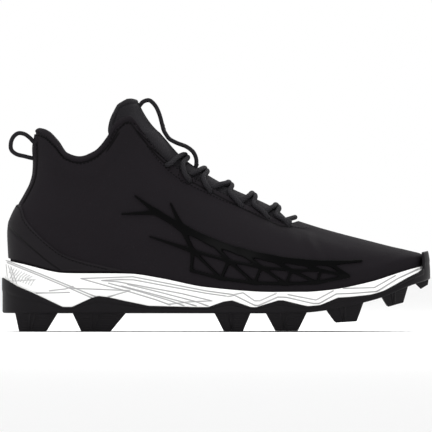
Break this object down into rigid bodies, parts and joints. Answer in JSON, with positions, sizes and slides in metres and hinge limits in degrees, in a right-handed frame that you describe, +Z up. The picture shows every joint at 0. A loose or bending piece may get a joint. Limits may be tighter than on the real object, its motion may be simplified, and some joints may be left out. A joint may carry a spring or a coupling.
{
  "type": "lacrosse cleat",
  "caption": "Black mid-top lacrosse cleat for the right foot with a white midsole, moulded studded plate, toe bumper, wrap tongue, pull loops and an openwork side overlay.",
  "frame": {"origin": "centre of the footprint's bounding box on the floor, under the studs", "axes": "+X from heel to toe, +Y to the medial side, +Z up"},
  "size_m": [0.296, 0.1086, 0.1628],
  "materials": {
    "plate": "satin moulded plastic",
    "midsole": "matte moulded foam with fine grooves",
    "insole": "brushed cloth",
    "upper": "matte synthetic leather",
    "tongue": "padded textile",
    "webbing": "woven tape",
    "counter": "satin moulded skin",
    "overlay": "high gloss film",
    "laces": "braided cord"
  },
  "bodies": {
    "root": {"plate": "plate", "midsole": "midsole", "insole": "insole", "upper": "upper", "tongue": "tongue", "tongue_strap": "webbing", "heel_pull_loop": "webbing", "heel_counter": "counter", "web_overlay": "overlay", "lace_bar": "laces", "lace_crossing_1": "laces", "lace_crossing_2": "laces", "lace_crossing_3": "laces", "lace_crossing_4": "laces", "lace_crossing_5": "laces"}
  },
  "joints": []
}
